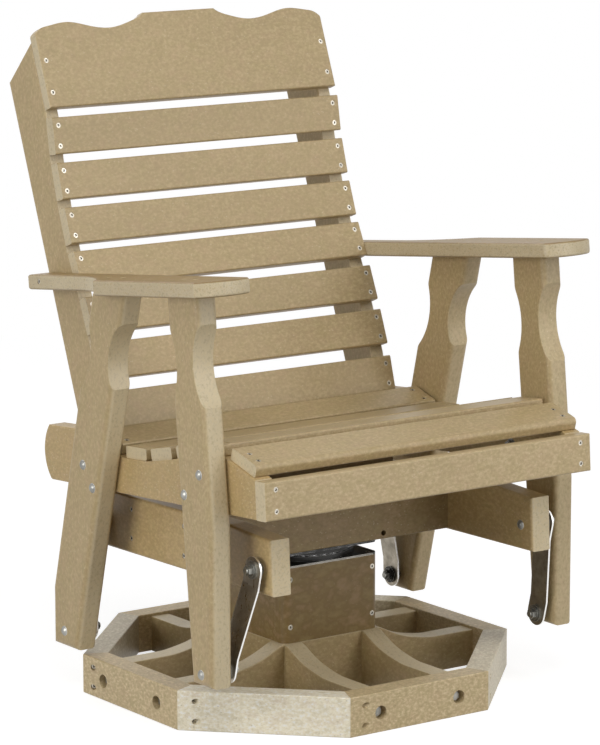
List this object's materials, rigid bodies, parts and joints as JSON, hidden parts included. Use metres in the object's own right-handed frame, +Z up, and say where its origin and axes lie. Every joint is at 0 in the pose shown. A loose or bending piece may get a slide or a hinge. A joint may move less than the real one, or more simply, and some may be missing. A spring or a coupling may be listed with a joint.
{
  "type": "swivel glider armchair",
  "caption": "Slatted armchair of recycled plastic lumber that glides on four hanging steel links and turns on a ball bearing over an octagonal base.",
  "frame": {"origin": "on the floor, under the middle of the chair's overall width and length", "axes": "+Z up, the chair faces -Y, +X is the sitter's left"},
  "size_m": [0.758, 0.7646, 1.0574],
  "materials": {
    "poly_board": "speckled weathered-wood tan plastic lumber, satin",
    "box_board": "smoother, darker tan plastic, satin",
    "black_steel": "black painted steel with a bright worn edge",
    "strap_steel": "brushed steel strap",
    "zinc_steel": "zinc-plated fastener steel",
    "screw_steel": "stainless deck screws"
  },
  "bodies": {
    "base": {"ring_board_front": "poly_board", "ring_board_front_left": "poly_board", "ring_board_left": "poly_board", "ring_board_rear_left": "poly_board", "ring_board_rear": "poly_board", "ring_board_rear_right": "poly_board", "ring_board_right": "poly_board", "ring_board_front_right": "poly_board", "ring_screws": "screw_steel", "spoke_left": "poly_board", "spoke_right": "poly_board", "spoke_front": "poly_board", "spoke_rear": "poly_board", "spoke_lag_bolts": "zinc_steel", "box_panel_front": "box_board", "box_panel_rear": "box_board", "box_panel_left": "box_board", "box_panel_right": "box_board", "box_screws": "screw_steel", "swivel_plate_lower": "black_steel", "bearing_balls": "zinc_steel", "king_bolt": "zinc_steel"},
    "glide_frame": {"swivel_plate_upper": "black_steel", "glide_rail_left": "poly_board", "glide_rail_right": "poly_board", "cross_board_front": "poly_board", "cross_board_rear": "poly_board", "glide_frame_screws": "screw_steel", "upper_pivot_bolts": "zinc_steel", "upper_pivot_nuts": "zinc_steel"},
    "front_links": {"front_link_left": "strap_steel", "front_link_right": "strap_steel", "front_link_bearings": "zinc_steel"},
    "rear_links": {"rear_link_left": "strap_steel", "rear_link_right": "strap_steel", "rear_link_bearings": "zinc_steel"},
    "seat": {"front_leg_left": "poly_board", "front_leg_right": "poly_board", "rear_leg_left": "poly_board", "rear_leg_right": "poly_board", "arm_left": "poly_board", "arm_right": "poly_board", "seat_rail_left": "poly_board", "seat_rail_right": "poly_board", "back_stile_left": "poly_board", "back_stile_right": "poly_board", "seat_slats": "poly_board", "seat_front_slat": "poly_board", "apron": "poly_board", "back_crest": "poly_board", "back_slat_1": "poly_board", "back_slat_2": "poly_board", "back_slat_3": "poly_board", "back_slat_4": "poly_board", "back_slat_5": "poly_board", "back_slat_6": "poly_board", "back_slat_7": "poly_board", "leg_bolts": "zinc_steel", "leg_nuts": "zinc_steel", "seat_screws": "screw_steel"}
  },
  "joints": [
    {"name": "swivel", "type": "hinge", "parent": "base", "child": "glide_frame", "pos_m": [0, -0.02654, 0.225], "axis": [0, 0, 1], "continuous": true},
    {"name": "glide_swing", "type": "hinge", "parent": "glide_frame", "child": "front_links", "pos_m": [0, -0.30604, 0.277], "axis": [1, 0, 0], "range_deg": [-15, 15]},
    {"name": "seat_pivot", "type": "hinge", "parent": "front_links", "child": "seat", "pos_m": [0, -0.26504, 0.115], "axis": [1, 0, 0], "range_deg": [-17, 17]},
    {"name": "rear_swing", "type": "hinge", "parent": "glide_frame", "child": "rear_links", "pos_m": [0, 0.12796, 0.269], "axis": [1, 0, 0], "range_deg": [-15, 15]}
  ],
  "couplings": [
    {"joint": "seat_pivot", "follows": "glide_swing", "ratio": -1.1204},
    {"joint": "rear_swing", "follows": "glide_swing", "ratio": 0.9629}
  ]
}
